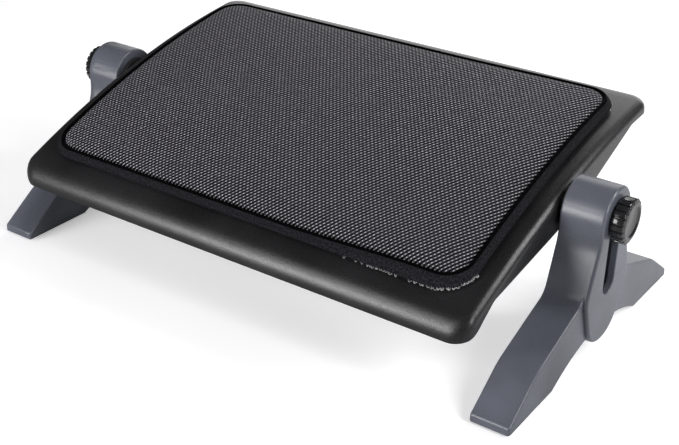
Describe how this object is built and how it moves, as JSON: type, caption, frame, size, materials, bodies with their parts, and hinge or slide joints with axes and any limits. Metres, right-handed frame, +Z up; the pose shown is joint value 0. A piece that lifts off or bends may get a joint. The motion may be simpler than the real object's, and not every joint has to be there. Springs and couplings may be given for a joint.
{
  "type": "under desk footrest",
  "caption": "Tilting under desk footrest: a padded, crowned tray hung between two slotted legs, set in height and angle by a clamp knob at each side.",
  "frame": {"origin": "on the floor, midway between the legs, straight under the tilt axis when the tray is at the top of its slots", "axes": "+X across the tray towards the user's right-hand leg as seen from the front, +Y towards the back, +Z up"},
  "size_m": [0.5538, 0.303, 0.1682],
  "materials": {
    "leg_plastic": "satin blue-grey moulded plastic",
    "tray_plastic": "fine-grained black moulded plastic",
    "knob_plastic": "black moulded plastic with polished ribs",
    "rubber": "dark grey rubber",
    "washer_rubber": "black rubber friction ring",
    "washer_plastic": "black plastic",
    "insert_brass": "knurled brass",
    "stud_steel": "zinc-plated steel",
    "fastener_tape": "black hook and loop tape",
    "base_cloth": "black non-slip cloth",
    "foam": "grey foam core",
    "air_mesh": "charcoal spacer mesh",
    "edge_cloth": "charcoal edge band, sewn"
  },
  "bodies": {
    "stand": {"right_leg": "leg_plastic", "left_leg": "leg_plastic", "right_front_foot_pad": "rubber", "right_rear_foot_pad": "rubber", "left_front_foot_pad": "rubber", "left_rear_foot_pad": "rubber"},
    "carriage": {"right_friction_washer": "washer_rubber", "left_friction_washer": "washer_rubber"},
    "tray": {"tray_shell": "tray_plastic", "right_threaded_insert": "insert_brass", "left_threaded_insert": "insert_brass", "hook_tapes": "fastener_tape", "loop_tapes": "fastener_tape", "pad_base_sheet": "base_cloth", "pad_foam": "foam", "pad_mesh_cover": "air_mesh", "pad_edge_band": "edge_cloth"},
    "right_clamp": {"right_clamp_washer": "washer_plastic"},
    "right_knob": {"right_knob": "knob_plastic", "right_clamp_stud": "stud_steel"},
    "left_clamp": {"left_clamp_washer": "washer_plastic"},
    "left_knob": {"left_knob": "knob_plastic", "left_clamp_stud": "stud_steel"}
  },
  "joints": [
    {"name": "height", "type": "slide", "parent": "stand", "child": "carriage", "axis": [0, 0, 1], "range_m": [-0.0555, 0]},
    {"name": "tilt", "type": "hinge", "parent": "carriage", "child": "tray", "pos_m": [0, 0, 0.1182], "axis": [1, 0, 0], "range_deg": [-30, 15]},
    {"name": "right_knob_travel", "type": "slide", "parent": "tray", "child": "right_clamp", "axis": [1, 0, 0], "range_m": [0, 0.0025]},
    {"name": "right_knob_turn", "type": "hinge", "parent": "right_clamp", "child": "right_knob", "pos_m": [0.2715, 0, 0.1182], "axis": [1, 0, 0], "range_deg": [0, 720]},
    {"name": "left_knob_travel", "type": "slide", "parent": "tray", "child": "left_clamp", "axis": [-1, 0, 0], "range_m": [0, 0.0025]},
    {"name": "left_knob_turn", "type": "hinge", "parent": "left_clamp", "child": "left_knob", "pos_m": [-0.2715, 0, 0.1182], "axis": [-1, 0, 0], "range_deg": [0, 720]}
  ],
  "couplings": [
    {"joint": "right_knob_travel", "follows": "right_knob_turn", "m_per_rad": 0.00019894},
    {"joint": "left_knob_travel", "follows": "left_knob_turn", "m_per_rad": 0.00019894}
  ]
}
